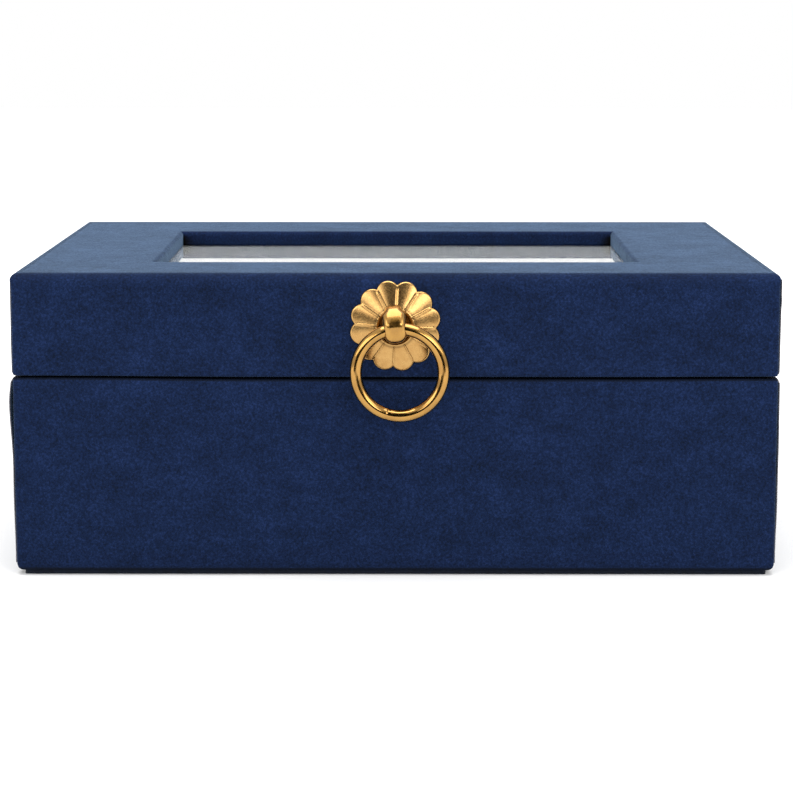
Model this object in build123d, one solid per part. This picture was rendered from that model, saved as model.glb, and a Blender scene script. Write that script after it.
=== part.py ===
from build123d import *
import os
from math import cos, pi, sin

# A hinged jewellery gift box covered in suede paper, with a picture window in its lid and a brass
# ring pull on its front. Millimetres. X runs along the width, the front faces -Y and Z is up.
# The origin is the centre of the felt underside that the box stands on.

# ---- driving dimensions ----
BOX_W = 230.0           # overall width
BOX_D = 176.0           # overall depth, without the pull and the hinges
BOX_H = 91.9            # overall height
SPLIT_Z = 60.7          # height of the line between base and lid
SPLIT_GAP = 0.2         # gap between the two rims, the pile of the suede
COVER = 0.7             # suede paper and its glue
BOARD = 7.0             # fibreboard walls
FELT = 1.3              # felt sheet under the base
LINING = 2.2            # lined card panels inside the walls

TOP_R = 4.2             # rounding of the lid's upper edges
RIM_R = 1.1             # rounding of both rims
FOOT_R = 2.4            # rounding of the base's lower edges
UPRIGHT_R = 1.2         # rounding of the upright edges
SIDE_PAPER = 0.35       # separate side papers, let into the cover
SIDE_SET = 1.6          # how far they stop short of the upright edges

# ---- base ----
FLOOR = 5.0             # fibreboard floor
FLOOR_PAD = 3.0         # padded lining on the floor
TURN_UNDER = 12.0       # suede turned under the base
LIP_H = 2.6             # how far the base's lining stands above the rim
LIP_PLAY = 0.4          # gap between that lip and the lid's walls
DIVIDER = 4.0           # lined card dividers
DIVIDER_TOP = 50.0      # height of their upper edges
LONG_DIVIDER_Y = 18.0   # middle of the divider that runs along X
BAY_X = 36.0            # middle of the cross dividers, either side of X 0
ROLLS = 7               # padded rolls that grip rings between them
ROLL_TOP = 38.0
ROLL_PLAY = 0.15        # gap between neighbouring rolls

# ---- lid ----
FRAME_T = 8.5           # fibreboard frame that forms the lid's top
WINDOW_W = 150.0        # clear opening
WINDOW_D = 99.0
WINDOW_Y = -3.9         # middle of the opening: the border is wider behind than in front
WINDOW_R = 1.4          # rounding where the suede turns down into the window
REVEAL = 4.8            # top of the lid to the glass
REBATE = 6.0            # ledge that carries the glass, all round
GLASS_T = 2.0
CARD_T = 0.5
PANEL_T = 2.8           # removable backing panel with its lining
TOP_LINING = 0.8
FLANGE = 4.0            # suede turned under the window's ledge
LOOSE = 0.25            # gap round the glass, card and backing panel

# ---- closing magnets ----
MAGNET_X = 62.0
MAGNET_R = 2.5
MAGNET_T = 3.0

# ---- stop hinges ----
HINGE_X = 65.0          # middle of each hinge, either side of X 0
LEAF_W = 26.0
LEAF_T = 1.0
LEAF_REACH = 7.0        # how far a leaf lies over the rim
PIN_R = 0.8
PIN_OUT = 2.0           # pin axis behind the back face
KNUCKLE_R = 1.8
KNUCKLES = 5
KNUCKLE_PLAY = 0.15
RUNNING = 0.03          # radial play of a turning knuckle on its pin
HEEL_OUT = 6.0          # reach of the stop heels from the pin
HEEL_T = 0.9
WEB_GAP = 0.3           # gap between the pin and the webs of leaf and heel
WEB_LAP = 0.1           # how far a web runs into its heel
OPEN_ANGLE = 95.0       # the heels meet here
HINGE_SCREW_X = 8.0
HINGE_SCREW_R = 0.9
HINGE_HEAD_R = 1.8
HINGE_SCREW_L = 8.0
HINGE_HEAD_T = 0.9

# ---- ring pull ----
PULL_Z = 76.4           # middle of the rosette, the stud and the eye's hole
ROSETTE_R = 13.5
PETALS = 12
PETAL_DEPTH = 1.0       # how far the notches between petals reach in
ROSETTE_RIM = 0.8       # thickness at the petals' tips
ROSETTE_CROWN = 2.4     # thickness at the middle
BOSS_R = 5.8
BOSS_H = 3.0
EYE_W = 6.1
EYE_H = 9.8
EYE_RAISE = 1.5         # the eye's middle above its hole
EYE_OUT = 11.3          # the eye's front in front of the face
EYE_TOP_R = 4.2         # roundings of the eye's front, seen from the side
EYE_FOOT_R = 2.4
EYE_FLAT = 0.1          # what is left flat under the eye's round foot
EYE_HOLE_R = 2.3
RING_OUT = 8.0          # ring's wire in front of the face
RING_R = 12.95          # to the middle of the wire
WIRE_R = 1.76
PULL_TURN = 6.0         # degrees: the eye is turned a little, and the ring hangs square to it
STUD_R = 2.0
STUD_PLAY = 0.2
STUD_ROOT = 0.5         # how far the stud runs into the eye
STUD_SHORT = 0.2        # gap between the stud's end and the lining
NUT_T = 3.0
NUT_FLATS = 7.0
WASHER_T = 0.8
WASHER_R = 5.0

# ---- turn buttons that hold the backing panel ----
BUTTON_T = 1.0
BUTTON_W = 6.0
BUTTON_REACH = 10.0     # pivot to tip
BUTTON_BACK = 6.0       # pivot to the edge of the rebate
BUTTON_LIFT = 0.2       # gap to the lining
BUTTON_SCREW_R = 1.0
BUTTON_HEAD_R = 2.1
BUTTON_HEAD_T = 0.9
BUTTON_SCREW_L = 5.0
BUTTON_PLAY = 0.1       # gap round the screw and under its head

PILOT_PLAY = 0.05       # radial gap round screws, studs and magnets

# ---- places that follow from those ----
HALF_W, HALF_D = BOX_W / 2, BOX_D / 2
BASE_Z0, BASE_Z1 = FELT, SPLIT_Z - SPLIT_GAP / 2
LID_Z0, LID_Z1 = SPLIT_Z + SPLIT_GAP / 2, BOX_H
WALL_IN_X, WALL_IN_Y = HALF_W - COVER - BOARD, HALF_D - COVER - BOARD
ROOM_X, ROOM_Y = WALL_IN_X - LINING, WALL_IN_Y - LINING
FLOOR_Z0 = BASE_Z0 + COVER
FLOOR_Z1 = FLOOR_Z0 + FLOOR
PAD_Z1 = FLOOR_Z1 + FLOOR_PAD
LIP_Z = SPLIT_Z + LIP_H
FRAME_Z = LID_Z1 - COVER - FRAME_T
GLASS_Z1 = LID_Z1 - REVEAL
GLASS_Z0 = GLASS_Z1 - GLASS_T
CARD_Z0 = GLASS_Z0 - CARD_T
PANEL_Z0 = CARD_Z0 - PANEL_T
LEDGE_Z = GLASS_Z1 + COVER
PIN_Y, PIN_Z = HALF_D + PIN_OUT, SPLIT_Z
BASE_SIDE = (BASE_Z0 + FOOT_R, BASE_Z1 - RIM_R)
LID_SIDE = (LID_Z0 + RIM_R, LID_Z1 - TOP_R)
FACE_Y = -HALF_D


def block(x0, x1, y0, y1, z0, z1):
    """A box between two corners."""
    return Pos((x0 + x1) / 2, (y0 + y1) / 2, (z0 + z1) / 2) * Box(x1 - x0, y1 - y0, z1 - z0)


def centred(half_x, half_y, z0, z1, y=0.0):
    """A box that is symmetrical about X 0, and about the plane Y = y."""
    return block(-half_x, half_x, y - half_y, y + half_y, z0, z1)


def rod(radius, length, at, along=(0, 0, 1)):
    """A cylinder that starts at a point and runs along a direction."""
    return extrude(Plane(origin=at, z_dir=along) * Circle(radius), length)


def rounded_profile(width, height, lower_r, upper_r):
    """A rectangle with its two lower and its two upper corners rounded."""
    outline = Rectangle(width, height)
    outline = fillet(outline.vertices().group_by(Axis.Y)[-1], upper_r)
    return fillet(outline.vertices().group_by(Axis.Y)[0], lower_r)


def soft_block(inset, z0, z1, lower_r, upper_r):
    """The box's outline between two heights, taken in by inset, with rounded edges and mitred corners."""
    width, depth = BOX_W - 2 * inset, BOX_D - 2 * inset
    z0, z1 = z0 + inset, z1 - inset
    lower_r, upper_r, upright_r = lower_r - inset, upper_r - inset, UPRIGHT_R - inset
    middle = (z0 + z1) / 2
    across = Plane.XZ.offset(0) * Pos(0, middle) * rounded_profile(width, z1 - z0, lower_r, upper_r)
    along = Plane.YZ * Pos(0, middle) * rounded_profile(depth, z1 - z0, lower_r, upper_r)
    plan = Pos(0, 0, z0) * RectangleRounded(width, depth, upright_r)
    body = extrude(across, depth, both=True) & extrude(along, width, both=True)
    return body & extrude(plan, z1 - z0)


def walls(core, z0, z1):
    """The four wall boards of a core: front and back run the full width, the sides fit between them."""
    reach_x, reach_y = HALF_W, HALF_D
    return {
        "front": core & block(-reach_x, reach_x, -reach_y, -WALL_IN_Y, z0, z1),
        "back": core & block(-reach_x, reach_x, WALL_IN_Y, reach_y, z0, z1),
        "left": core & block(-reach_x, -WALL_IN_X, -WALL_IN_Y, WALL_IN_Y, z0, z1),
        "right": core & block(WALL_IN_X, reach_x, -WALL_IN_Y, WALL_IN_Y, z0, z1),
    }


def lining_panels(z0, z1, inset=0.0):
    """Four lining panels that stand against the walls, or inset from them."""
    out_x, out_y = WALL_IN_X - inset, WALL_IN_Y - inset
    return {
        "front": block(-out_x, out_x, -out_y, -ROOM_Y, z0, z1),
        "back": block(-out_x, out_x, ROOM_Y, out_y, z0, z1),
        "left": block(-out_x, -ROOM_X, -ROOM_Y, ROOM_Y, z0, z1),
        "right": block(ROOM_X, out_x, -ROOM_Y, ROOM_Y, z0, z1),
    }


def opening(grow, z0, z1):
    """The window's opening, grown on every side, between two heights."""
    return centred(WINDOW_W / 2 + grow, WINDOW_D / 2 + grow, z0, z1, WINDOW_Y)


def side_papers(z0, z1):
    """The pair of flat papers on the left and right, laid last over the turned cover."""
    reach = HALF_D - SIDE_SET
    edges = ((-HALF_W, -HALF_W + SIDE_PAPER), (HALF_W - SIDE_PAPER, HALF_W))
    return [block(x0, x1, -reach, reach, z0, z1) for x0, x1 in edges]


def leaf_space(side, lower):
    """The recess in a rim that takes a hinge leaf."""
    reach = LEAF_W / 2 + PILOT_PLAY
    x = side * HINGE_X
    z0, z1 = (BASE_Z1 - LEAF_T, BASE_Z1 + 1) if lower else (LID_Z0 - 1, LID_Z0 + LEAF_T)
    return block(x - reach, x + reach, HALF_D - LEAF_REACH - PILOT_PLAY, HALF_D + 1, z0, z1)


def hinge_holes(side, lower, radius):
    """The two screw holes, or screw shanks, of one leaf."""
    y = HALF_D - LEAF_REACH / 2 - COVER / 2
    start = BASE_Z1 if lower else LID_Z0
    way = (0, 0, -1) if lower else (0, 0, 1)
    places = [side * HINGE_X + offset for offset in (-HINGE_SCREW_X, HINGE_SCREW_X)]
    return [rod(radius, HINGE_SCREW_L, (x, y, start), way) for x in places]


def hinge_heads(side, lower, grow=0.0):
    """The countersunk heads of one leaf's screws."""
    y = HALF_D - LEAF_REACH / 2 - COVER / 2
    depth = HINGE_HEAD_T
    narrow, wide = HINGE_SCREW_R + grow, HINGE_HEAD_R + grow
    z = BASE_Z1 - depth / 2 if lower else LID_Z0 + depth / 2
    radii = (narrow, wide) if lower else (wide, narrow)
    places = [side * HINGE_X + offset for offset in (-HINGE_SCREW_X, HINGE_SCREW_X)]
    return [Pos(x, y, z) * Cone(*radii, depth) for x in places]


def fuse(pieces):
    """Joins a list of solids into one shape."""
    joined = pieces[0]
    for piece in pieces[1:]:
        joined = joined + piece
    return joined


def magnets(z0, grow=0.0):
    """The pair of magnets, or their pockets, whose lower faces are at z0."""
    y = -(WALL_IN_Y + BOARD / 2)
    return [rod(MAGNET_R + grow, MAGNET_T + 2 * grow, (x, y, z0 - grow)) for x in (-MAGNET_X, MAGNET_X)]


# ---- base parts ----
def base_boards():
    """Four walls and the floor, with magnet pockets, hinge recesses and pilot holes."""
    core = soft_block(COVER, BASE_Z0, BASE_Z1, FOOT_R, RIM_R)
    parts = walls(core, BASE_Z0, BASE_Z1)
    for pocket in magnets(BASE_Z1 - COVER - MAGNET_T - PILOT_PLAY, PILOT_PLAY):
        parts["front"] = parts["front"] - pocket
    for side in (-1, 1):
        parts["back"] = parts["back"] - leaf_space(side, True)
        for hole in hinge_holes(side, True, HINGE_SCREW_R + PILOT_PLAY):
            parts["back"] = parts["back"] - hole
    boards = {f"base_{name}_board": part for name, part in parts.items()}
    boards["base_floor_board"] = centred(WALL_IN_X, WALL_IN_Y, FLOOR_Z0, FLOOR_Z1)
    return boards


def base_cover():
    """Suede paper round the outside, over the rim and turned under the bottom."""
    outside = soft_block(0.0, BASE_Z0, BASE_Z1, FOOT_R, RIM_R)
    skin = outside - soft_block(COVER, BASE_Z0, BASE_Z1, FOOT_R, RIM_R)
    skin = skin - centred(WALL_IN_X, WALL_IN_Y, BASE_Z0 + COVER, BASE_Z1 + 1)
    skin = skin - centred(HALF_W - TURN_UNDER, HALF_D - TURN_UNDER, BASE_Z0 - 1, BASE_Z0 + COVER + 1)
    for paper in side_papers(*BASE_SIDE):
        skin = skin - paper
    for side in (-1, 1):
        skin = skin - leaf_space(side, True)
    return skin


def felt_sheet():
    """Felt sheet under the base, which covers the turned-under suede and is what it stands on."""
    sheet = RectangleRounded(BOX_W - 2 * FOOT_R, BOX_D - 2 * FOOT_R, UPRIGHT_R)
    return extrude(sheet, FELT)


def base_lining():
    """Lining panels whose upper edges stand above the rim and steer the lid as it closes."""
    lower = lining_panels(FLOOR_Z1, BASE_Z1)
    lips = lining_panels(BASE_Z1, LIP_Z, LIP_PLAY)
    parts = {f"base_lining_{name}": lower[name] + lips[name] for name in lower}
    parts["base_lining_floor"] = centred(ROOM_X, ROOM_Y, FLOOR_Z1, PAD_Z1)
    return parts


def dividers():
    """One long divider and three cross dividers, standing on the padded floor."""
    half = DIVIDER / 2
    front_y, back_y = LONG_DIVIDER_Y - half, LONG_DIVIDER_Y + half
    return {
        "divider_long": block(-ROOM_X, ROOM_X, front_y, back_y, PAD_Z1, DIVIDER_TOP),
        "divider_back_left": block(-BAY_X - half, -BAY_X + half, back_y, ROOM_Y, PAD_Z1, DIVIDER_TOP),
        "divider_back_right": block(BAY_X - half, BAY_X + half, back_y, ROOM_Y, PAD_Z1, DIVIDER_TOP),
        "divider_front": block(BAY_X - half, BAY_X + half, -ROOM_Y, front_y, PAD_Z1, DIVIDER_TOP),
    }


def ring_rolls():
    """Padded rolls with round tops, side by side in the front left bay."""
    x0, x1 = -ROOM_X, BAY_X - DIVIDER / 2
    y0, y1 = -ROOM_Y, LONG_DIVIDER_Y - DIVIDER / 2
    pitch = (y1 - y0) / ROLLS
    radius = pitch / 2 - ROLL_PLAY
    parts = {}
    for n in range(ROLLS):
        y = y0 + pitch * (n + 0.5)
        upright = block(x0, x1, y - radius, y + radius, PAD_Z1, ROLL_TOP - radius)
        parts[f"ring_roll_{n + 1}"] = upright + rod(radius, x1 - x0, (x0, y, ROLL_TOP - radius), (1, 0, 0))
    return parts


# ---- lid parts ----
def lid_boards():
    """Four walls under a frame board with the rebated window opening."""
    core = soft_block(COVER, LID_Z0, LID_Z1, RIM_R, TOP_R)
    parts = walls(core, LID_Z0, FRAME_Z)
    for pocket in magnets(LID_Z0 + COVER + PILOT_PLAY, PILOT_PLAY):
        parts["front"] = parts["front"] - pocket
    sunk_y = -WALL_IN_Y - NUT_T - WASHER_T
    parts["front"] = parts["front"] - rod(STUD_R + STUD_PLAY, BOARD + 2, (0, FACE_Y, PULL_Z), (0, 1, 0))
    parts["front"] = parts["front"] - rod(WASHER_R + STUD_PLAY, BOARD, (0, sunk_y, PULL_Z), (0, 1, 0))
    for side in (-1, 1):
        parts["back"] = parts["back"] - leaf_space(side, False)
        for hole in hinge_holes(side, False, HINGE_SCREW_R + PILOT_PLAY):
            parts["back"] = parts["back"] - hole
    boards = {f"lid_{name}_board": part for name, part in parts.items()}
    frame = core & centred(HALF_W, HALF_D, FRAME_Z, LID_Z1)
    frame = frame - opening(COVER, FRAME_Z - 1, LID_Z1 + 1)
    frame = frame - opening(COVER + REBATE, FRAME_Z - 1, LEDGE_Z)
    for x, y, _ in button_places():
        frame = frame - rod(BUTTON_SCREW_R + PILOT_PLAY, BUTTON_SCREW_L, (x, y, FRAME_Z - 1))
    boards["lid_frame_board"] = frame
    return boards


def lid_cover():
    """Suede paper over the lid, down into the window and turned under its ledge."""
    skin = soft_block(0.0, LID_Z0, LID_Z1, RIM_R, TOP_R) - soft_block(COVER, LID_Z0, LID_Z1, RIM_R, TOP_R)
    skin = skin - centred(WALL_IN_X, WALL_IN_Y, LID_Z0 - 1, LID_Z1 - COVER)
    skin = skin + opening(COVER, GLASS_Z1, LID_Z1)
    skin = skin + opening(FLANGE, GLASS_Z1, LEDGE_Z)
    skin = skin - opening(0.0, GLASS_Z1 - 1, LID_Z1 + 1)
    upper = skin.edges().filter_by_position(Axis.Z, LID_Z1, LID_Z1)
    inner = [e for e in upper if abs(e.center().X) <= WINDOW_W / 2 and e.length <= WINDOW_W + 0.01]
    skin = fillet([e for e in inner if abs(e.center().Y - WINDOW_Y) <= WINDOW_D / 2], WINDOW_R)
    for paper in side_papers(*LID_SIDE):
        skin = skin - paper
    for side in (-1, 1):
        skin = skin - leaf_space(side, False)
    return skin - rod(STUD_R + STUD_PLAY, BOARD, (0, FACE_Y - 1, PULL_Z), (0, 1, 0))


def window_parts():
    """Glass, white mount card and removable backing panel, in the rebate from above to below."""
    grow = COVER + REBATE - LOOSE
    return {
        "window_glass": opening(grow, GLASS_Z0, GLASS_Z1),
        "mount_card": opening(grow, CARD_Z0, GLASS_Z0),
        "backing_panel": opening(grow, PANEL_Z0, CARD_Z0),
    }


def lid_lining():
    """Lining panels inside the lid's walls and a lining sheet under its frame."""
    panels = lining_panels(LIP_Z + LIP_PLAY, FRAME_Z - TOP_LINING)
    parts = {f"lid_lining_{name}": panel for name, panel in panels.items()}
    sheet = centred(WALL_IN_X, WALL_IN_Y, FRAME_Z - TOP_LINING, FRAME_Z)
    sheet = sheet - opening(COVER + REBATE, FRAME_Z - TOP_LINING - 1, FRAME_Z + 1)
    for x, y, _ in button_places():
        sheet = sheet - rod(BUTTON_SCREW_R + PILOT_PLAY, 3, (x, y, FRAME_Z - 2))
    parts["lid_lining_top"] = sheet
    return parts


# ---- hinges ----
def knuckles(side, lower):
    """The knuckles of one leaf: the base has the odd ones, the lid those between."""
    pitch = LEAF_W / KNUCKLES
    start = side * HINGE_X - LEAF_W / 2
    bore = PIN_R + RUNNING
    own = range(0, KNUCKLES, 2) if lower else range(1, KNUCKLES, 2)
    return [
        rod(KNUCKLE_R, pitch - KNUCKLE_PLAY, (start + pitch * n + KNUCKLE_PLAY / 2, PIN_Y, PIN_Z), (1, 0, 0))
        - rod(bore, pitch, (start + pitch * n, PIN_Y, PIN_Z), (1, 0, 0))
        for n in own
    ]


def heel(side, lower):
    """A stop plate behind the pin; the two plates meet when the lid is open."""
    x0, x1 = side * HINGE_X - LEAF_W / 2, side * HINGE_X + LEAF_W / 2
    clear = KNUCKLE_R + KNUCKLE_PLAY
    turn = OPEN_ANGLE / 2
    plate = block(x0, x1, clear, HEEL_OUT, 0, HEEL_T)
    pitch = LEAF_W / KNUCKLES
    own = range(0, KNUCKLES, 2) if lower else range(1, KNUCKLES, 2)
    for n in own:
        start = x0 + pitch * n + KNUCKLE_PLAY / 2
        end = start + pitch - KNUCKLE_PLAY
        plate = plate + block(start, end, PIN_R + WEB_GAP, clear + WEB_LAP, 0, HEEL_T)
    plate = plate if not lower else mirror(plate, Plane.XY)
    angle = turn if not lower else -turn
    return Pos(0, PIN_Y, PIN_Z) * Rot(angle, 0, 0) * plate


def hinge_leaf(side, lower):
    """One leaf: plate in the rim, knuckles round the pin and the stop heel behind it."""
    x0, x1 = side * HINGE_X - LEAF_W / 2, side * HINGE_X + LEAF_W / 2
    z0, z1 = (BASE_Z1 - LEAF_T, BASE_Z1) if lower else (LID_Z0, LID_Z0 + LEAF_T)
    leaf = block(x0, x1, HALF_D - LEAF_REACH, HALF_D, z0, z1)
    for head in hinge_heads(side, lower, PILOT_PLAY) + hinge_holes(side, lower, HINGE_SCREW_R + PILOT_PLAY):
        leaf = leaf - head
    pitch = LEAF_W / KNUCKLES
    own = range(0, KNUCKLES, 2) if lower else range(1, KNUCKLES, 2)
    for n in own:
        start = x0 + pitch * n + KNUCKLE_PLAY / 2
        leaf = leaf + block(start, start + pitch - KNUCKLE_PLAY, HALF_D, PIN_Y - PIN_R - WEB_GAP, z0, z1)
    return fuse([leaf, heel(side, lower)] + knuckles(side, lower))


def hinge_parts():
    """Two hinges, each with a base leaf, a lid leaf and a pin, and the screws of each half as a group."""
    parts = {}
    for side, name in ((-1, "left"), (1, "right")):
        parts[f"hinge_base_leaf_{name}"] = hinge_leaf(side, True)
        parts[f"hinge_lid_leaf_{name}"] = hinge_leaf(side, False)
        start = side * HINGE_X - LEAF_W / 2
        parts[f"hinge_pin_{name}"] = rod(PIN_R, LEAF_W, (start, PIN_Y, PIN_Z), (1, 0, 0))
    for half, lower in (("base", True), ("lid", False)):
        screws = []
        for side in (-1, 1):
            pairs = zip(hinge_holes(side, lower, HINGE_SCREW_R), hinge_heads(side, lower))
            screws += [shank + head for shank, head in pairs]
        parts[f"hinge_screws_{half}"] = Compound(children=screws)
    return parts


# ---- ring pull ----
def scalloped_outline():
    """A circle of petals: round tips that meet in notches, one notch at the top."""
    notch_r = ROSETTE_R - PETAL_DEPTH
    half = pi / PETALS
    corners = [(notch_r * sin(2 * half * n), notch_r * cos(2 * half * n)) for n in range(PETALS)]
    tips = [(ROSETTE_R * sin(half * (2 * n + 1)), ROSETTE_R * cos(half * (2 * n + 1))) for n in range(PETALS)]
    arcs = [ThreePointArc(corners[n], tips[n], corners[(n + 1) % PETALS]) for n in range(PETALS)]
    return make_face(Wire(arcs))


def rosette():
    """Domed brass backplate of petals round a boss. Its back lies on the lid's front."""
    front = Plane(origin=(0, FACE_Y, PULL_Z), x_dir=(1, 0, 0), z_dir=(0, -1, 0))
    rise = ROSETTE_CROWN - ROSETTE_RIM
    dome_r = (ROSETTE_R**2 + rise**2) / (2 * rise)
    plate = extrude(front * scalloped_outline(), ROSETTE_CROWN)
    plate = plate & Pos(0, FACE_Y - ROSETTE_CROWN + dome_r, PULL_Z) * Sphere(dome_r)
    boss = extrude(front * Circle(BOSS_R), BOSS_H)
    boss = fillet(boss.edges().group_by(Axis.Y)[0], BOSS_H / 3)
    return plate + boss - rod(STUD_R + STUD_PLAY, 2 * BOSS_H, (0, FACE_Y + 1, PULL_Z), (0, -1, 0))


def turned(shape):
    """Turns the eye or the ring about the stud."""
    stud = Location((0, 0, PULL_Z))
    return stud * Rot(0, -PULL_TURN, 0) * stud.inverse() * shape


def pull_eye():
    """The eye that the ring hangs in: a tongue with a rounded foot, and its threaded stud."""
    z0, z1 = PULL_Z + EYE_RAISE - EYE_H / 2, PULL_Z + EYE_RAISE + EYE_H / 2
    y0 = FACE_Y - BOSS_H
    side = block(-EYE_W / 2, EYE_W / 2, FACE_Y - EYE_OUT, y0, z0, z1)
    side = fillet(side.edges().filter_by(Axis.X).group_by(Axis.Y)[0].sort_by(Axis.Z)[-1], EYE_TOP_R)
    side = fillet(side.edges().filter_by(Axis.X).group_by(Axis.Y)[0].sort_by(Axis.Z)[0], EYE_FOOT_R)
    tongue = Pos(0, EYE_H / 2) * Rectangle(EYE_W, 2 * EYE_H)
    tongue = fillet(tongue.vertices().group_by(Axis.Y)[0], (EYE_W - EYE_FLAT) / 2)
    view = Plane(origin=(0, 0, (z0 + z1) / 2 + EYE_H / 2), x_dir=(1, 0, 0), z_dir=(0, -1, 0))
    side = side & extrude(view * tongue, 2 * BOX_D, both=True)
    hole = rod(EYE_HOLE_R, 2 * EYE_W, (-EYE_W, FACE_Y - RING_OUT, PULL_Z), (1, 0, 0))
    stud_end = -WALL_IN_Y - STUD_SHORT
    stud = rod(STUD_R, stud_end - y0 + STUD_ROOT, (0, stud_end, PULL_Z), (0, -1, 0))
    return turned(side - hole + stud)


def pull_ring():
    """The round ring. It hangs in the eye from the middle of its upper wire."""
    ring = Rot(90, 0, 0) * Torus(RING_R, WIRE_R)
    return turned(Pos(0, FACE_Y - RING_OUT, PULL_Z - RING_R) * ring)


def pull_fixings():
    """Washer and hexagon nut, sunk in the back of the lid's front wall."""
    nut_y0 = -WALL_IN_Y - NUT_T
    inside = Plane(origin=(0, nut_y0, PULL_Z), x_dir=(1, 0, 0), z_dir=(0, 1, 0))
    bore = STUD_R + PILOT_PLAY
    nut = extrude(inside * RegularPolygon(NUT_FLATS / 2 / cos(pi / 6), 6), NUT_T)
    washer = rod(WASHER_R, WASHER_T, (0, nut_y0 - WASHER_T, PULL_Z), (0, 1, 0))
    hole = rod(bore, BOARD, (0, nut_y0 - WASHER_T - 1, PULL_Z), (0, 1, 0))
    return {"pull_nut": nut - hole, "pull_washer": washer - hole}


# ---- turn buttons ----
def button_places():
    """Pivot of each turn button and the angle that points it at the backing panel."""
    out_x = WINDOW_W / 2 + COVER + REBATE + BUTTON_BACK
    out_y = WINDOW_D / 2 + COVER + REBATE + BUTTON_BACK
    return [
        (0, WINDOW_Y - out_y, 90),
        (0, WINDOW_Y + out_y, -90),
        (-out_x, WINDOW_Y, 0),
        (out_x, WINDOW_Y, 180),
    ]


def turn_buttons():
    """Four brass strips that turn on screws, and the screws as a group."""
    top = FRAME_Z - TOP_LINING - BUTTON_LIFT
    end = BUTTON_W / 2
    outline = Pos((BUTTON_REACH - end) / 2, 0) * SlotOverall(BUTTON_REACH + end, BUTTON_W)
    outline = outline - Circle(BUTTON_SCREW_R + BUTTON_PLAY)
    strip = extrude(outline, BUTTON_T)
    parts, screws = {}, []
    for (x, y, angle), name in zip(button_places(), ("front", "back", "left", "right")):
        parts[f"turn_button_{name}"] = Pos(x, y, top - BUTTON_T) * Rot(0, 0, angle) * strip
        head_z = top - BUTTON_T - BUTTON_PLAY
        head = rod(BUTTON_HEAD_R, BUTTON_HEAD_T, (x, y, head_z), (0, 0, -1))
        head = fillet(head.edges().group_by(Axis.Z)[0], BUTTON_HEAD_T / 2)
        screws.append(head + rod(BUTTON_SCREW_R, BUTTON_SCREW_L, (x, y, head_z)))
    parts["turn_button_screws"] = Compound(children=screws)
    return parts


def all_parts():
    """Every sub-part by its node name."""
    parts = {"felt_sheet": felt_sheet(), "base_cover": base_cover(), "lid_cover": lid_cover()}
    for group in (base_boards, base_lining, dividers, ring_rolls, lid_boards, window_parts, lid_lining):
        parts.update(group())
    parts["base_side_papers"] = Compound(children=side_papers(*BASE_SIDE))
    parts["lid_side_papers"] = Compound(children=side_papers(*LID_SIDE))
    parts["base_magnets"] = Compound(children=magnets(BASE_Z1 - COVER - MAGNET_T - PILOT_PLAY))
    parts["lid_magnets"] = Compound(children=magnets(LID_Z0 + COVER + PILOT_PLAY))
    parts.update(hinge_parts())
    parts.update({"rosette": rosette(), "pull_eye": pull_eye(), "pull_ring": pull_ring()})
    parts.update(pull_fixings())
    parts.update(turn_buttons())
    return parts


os.makedirs("parts", exist_ok=True)
for node, shape in all_parts().items():
    export_step(shape, f"parts/{node}.step")
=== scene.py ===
from math import atan2, cos, exp, pi, radians, sin, sqrt

import bmesh
import bpy
from mathutils import Matrix, Vector, noise


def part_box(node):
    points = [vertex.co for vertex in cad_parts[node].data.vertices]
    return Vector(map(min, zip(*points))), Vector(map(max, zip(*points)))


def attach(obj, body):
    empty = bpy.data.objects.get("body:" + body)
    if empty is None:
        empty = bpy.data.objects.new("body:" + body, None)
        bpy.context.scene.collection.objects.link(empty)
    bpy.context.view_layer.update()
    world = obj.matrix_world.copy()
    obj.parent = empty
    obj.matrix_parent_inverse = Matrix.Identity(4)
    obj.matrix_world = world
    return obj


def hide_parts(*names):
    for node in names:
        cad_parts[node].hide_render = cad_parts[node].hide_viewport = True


# A jewellery gift box wrapped in navy suede paper: a hinged lid with a glazed picture window, a
# brass ring pull on a petalled rosette, and a velvet-lined inside. Metres, front towards -Y, Z up.

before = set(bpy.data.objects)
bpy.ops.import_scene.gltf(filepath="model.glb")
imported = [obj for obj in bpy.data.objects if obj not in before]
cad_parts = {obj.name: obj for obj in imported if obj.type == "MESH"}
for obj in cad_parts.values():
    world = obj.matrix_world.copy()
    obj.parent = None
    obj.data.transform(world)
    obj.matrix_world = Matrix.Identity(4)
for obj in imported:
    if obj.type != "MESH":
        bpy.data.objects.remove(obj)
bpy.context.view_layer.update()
MM = 0.001

# ---- places from the frame ----
lid_low, lid_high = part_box("lid_cover")
base_low, base_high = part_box("base_cover")
glass_low, glass_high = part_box("window_glass")
rosette_low, rosette_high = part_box("rosette")
side_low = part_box("lid_side_papers")[0]
HALF_X = lid_high.x
HALF_Y = lid_high.y
FRONT_Y = -HALF_Y
JOINT_Z = (base_high.z + lid_low.z) / 2
PULL_Z = (rosette_low.z + rosette_high.z) / 2

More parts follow.
